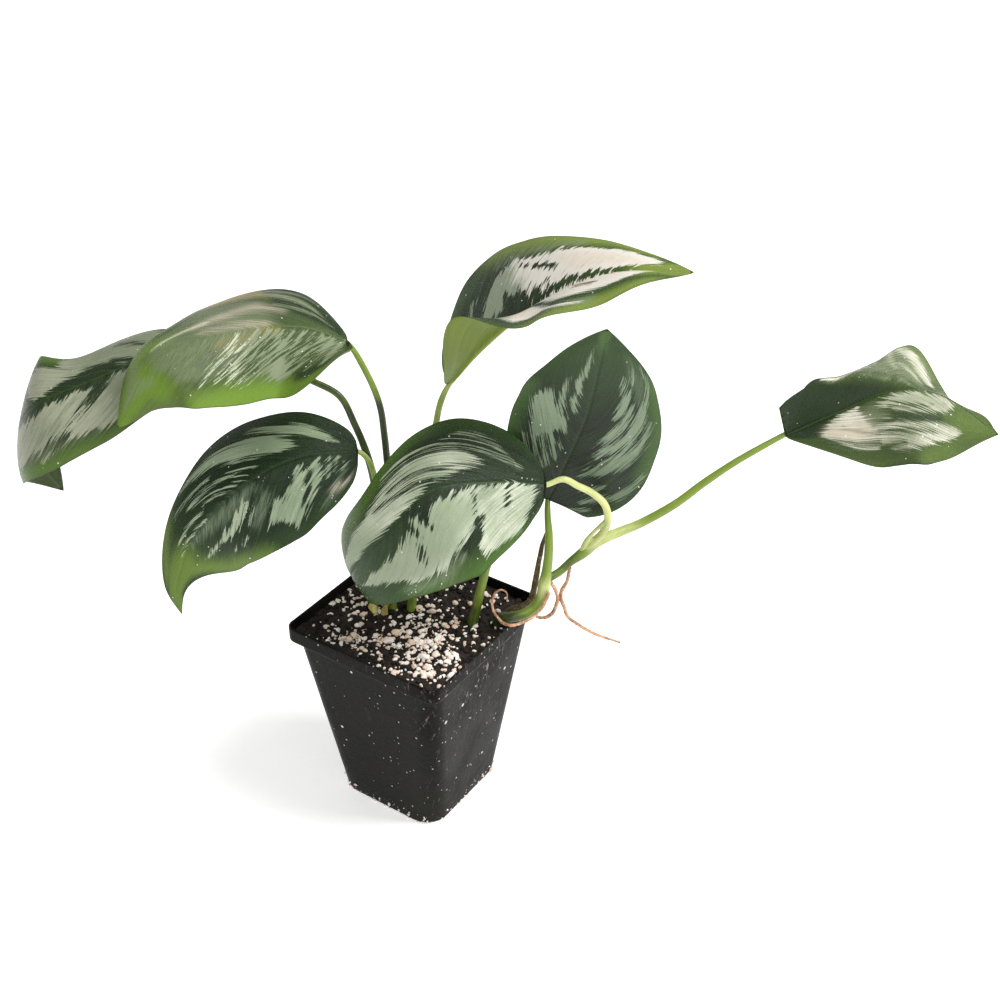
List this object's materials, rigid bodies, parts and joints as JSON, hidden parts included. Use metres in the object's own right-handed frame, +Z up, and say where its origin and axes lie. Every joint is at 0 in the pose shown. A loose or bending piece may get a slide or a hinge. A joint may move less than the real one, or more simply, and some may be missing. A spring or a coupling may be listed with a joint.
{
  "type": "potted scindapsus plant",
  "caption": "Young scindapsus with silver-streaked dark green leaves on long stalks and a short vine with aerial roots, in a square black nursery pot of peat and perlite.",
  "frame": {"origin": "centre of the pot's underside, on the surface it stands on", "axes": "+Z up, X and Y along the pot's sides, +X towards the side where the vine leans over the rim"},
  "size_m": [0.4173, 0.2631, 0.2893],
  "materials": {
    "pot_plastic": "satin black moulded plastic, lightly scratched and dusty",
    "peat": "moist dark peat with white perlite grains",
    "leaf": "glossy dark green blade with ragged silver streaks and a paler tip",
    "stalk": "smooth yellow-green stalk, darker where old",
    "dry_sheath": "dry brown to tan papery sheath",
    "root": "dry tan root skin"
  },
  "bodies": {
    "root": {"pot": "pot_plastic", "soil": "peat", "leaf_1": "leaf", "leaf_2": "leaf", "leaf_3": "leaf", "leaf_4": "leaf", "leaf_5": "leaf", "leaf_6": "leaf", "leaf_7": "leaf", "petiole_1": "stalk", "petiole_2": "stalk", "petiole_3": "stalk", "petiole_4": "stalk", "petiole_5": "stalk", "petiole_6": "stalk", "petiole_7": "stalk", "vine_stem": "stalk", "old_sheath": "dry_sheath", "dry_sheath": "dry_sheath", "shoot": "stalk", "stub": "dry_sheath", "aerial_root_1": "root", "aerial_root_2": "root", "aerial_root_3": "root"}
  },
  "joints": []
}
